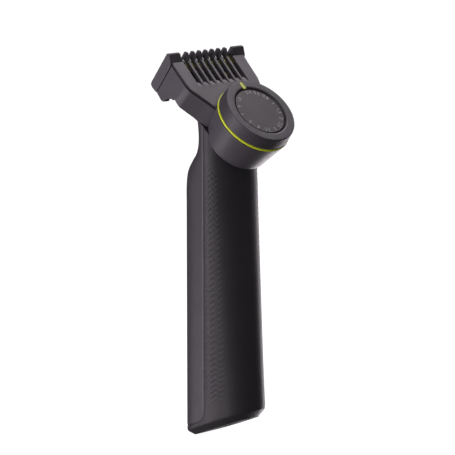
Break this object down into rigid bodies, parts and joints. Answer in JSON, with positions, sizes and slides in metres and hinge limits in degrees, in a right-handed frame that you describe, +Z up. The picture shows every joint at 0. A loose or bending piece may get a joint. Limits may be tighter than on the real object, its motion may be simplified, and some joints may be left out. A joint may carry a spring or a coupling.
{
  "type": "body groomer",
  "caption": "Cordless body groomer with a D-shaped grip, a slanted base and a clip-on comb whose guard length is set by a round dial below the head.",
  "frame": {"origin": "middle of the whole width and depth, at the lowest point of the slanted base", "axes": "+Z up along the handle, -Y towards the dial side, +Y towards the shaving side of the head, +X across the width"},
  "size_m": [0.0468, 0.061, 0.1814],
  "materials": {
    "grip_rubber": "soft-touch",
    "shell_graphite": "satin",
    "comb_graphite": "satin",
    "accent_lime": "satin",
    "black_plastic": "matt",
    "cutter_steel": "brushed",
    "contact_brass": "bright",
    "board_green": "solder mask",
    "cell_blue": "shrink wrap",
    "gear_white": "moulded",
    "print_grey": "pad print"
  },
  "bodies": {
    "handle": {"grip_shell": "grip_rubber", "panel_shell": "shell_graphite", "base_cap": "black_plastic", "chassis": "black_plastic", "chassis_screw_1": "cutter_steel", "chassis_screw_2": "cutter_steel", "chassis_screw_3": "cutter_steel", "chassis_screw_4": "cutter_steel", "battery_cell": "cell_blue", "battery_contact_lower": "contact_brass", "battery_contact_upper": "contact_brass", "circuit_board": "board_green", "power_switch": "cutter_steel", "motor": "cutter_steel", "charge_light": "gear_white", "neck_cap": "grip_rubber", "blade_mount": "black_plastic", "pivot_pin": "cutter_steel", "fixed_cutter": "cutter_steel", "blade_frame": "accent_lime", "blade_holder": "black_plastic", "blade_spring_left": "cutter_steel", "blade_spring_right": "cutter_steel", "comb_carrier": "shell_graphite", "dial_post": "black_plastic", "dial_screw": "cutter_steel", "number_disc": "shell_graphite", "accent_ring": "accent_lime", "detent_spring": "cutter_steel", "charging_socket": "black_plastic", "charging_pin_left": "contact_brass", "charging_pin_right": "contact_brass"},
    "dial": {"dial_knob": "comb_graphite", "index_mark": "accent_lime", "cam_plate": "black_plastic"},
    "comb_slider": {"comb": "comb_graphite", "cam_follower": "cutter_steel"},
    "button": {"power_button": "black_plastic"},
    "rotor": {"motor_shaft": "cutter_steel", "eccentric": "gear_white"},
    "lever": {"drive_lever": "gear_white"},
    "cutter": {"moving_cutter": "cutter_steel"}
  },
  "joints": [
    {"name": "dial_turn", "type": "hinge", "parent": "handle", "child": "dial", "pos_m": [0, -0.01802, 0.15707], "axis": [0, 0.6931, -0.7208], "range_deg": [0, 315.7]},
    {"name": "comb_extend", "type": "slide", "parent": "handle", "child": "comb_slider", "axis": [0, 0.7208, 0.6931], "range_m": [0, 0.00965]},
    {"name": "button_press", "type": "slide", "parent": "handle", "child": "button", "axis": [0, -1, 0], "range_m": [0, 0.0008], "stiffness_N_per_m": 1500},
    {"name": "motor_spin", "type": "hinge", "parent": "handle", "child": "rotor", "pos_m": [0, 0.0015, 0.115], "axis": [0, 0, 1], "continuous": true},
    {"name": "lever_rock", "type": "hinge", "parent": "handle", "child": "lever", "pos_m": [0, 0.0015, 0.14238], "axis": [0, 1, 0], "range_deg": [-2.4, 2.4]},
    {"name": "cutter_slide", "type": "slide", "parent": "handle", "child": "cutter", "axis": [1, 0, 0], "range_m": [-0.0012, 0.0012]}
  ],
  "couplings": [
    {"joint": "comb_extend", "follows": "dial_turn", "m_per_rad": 0.0017423},
    {"joint": "cutter_slide", "follows": "lever_rock", "m_per_rad": 0.0283}
  ]
}
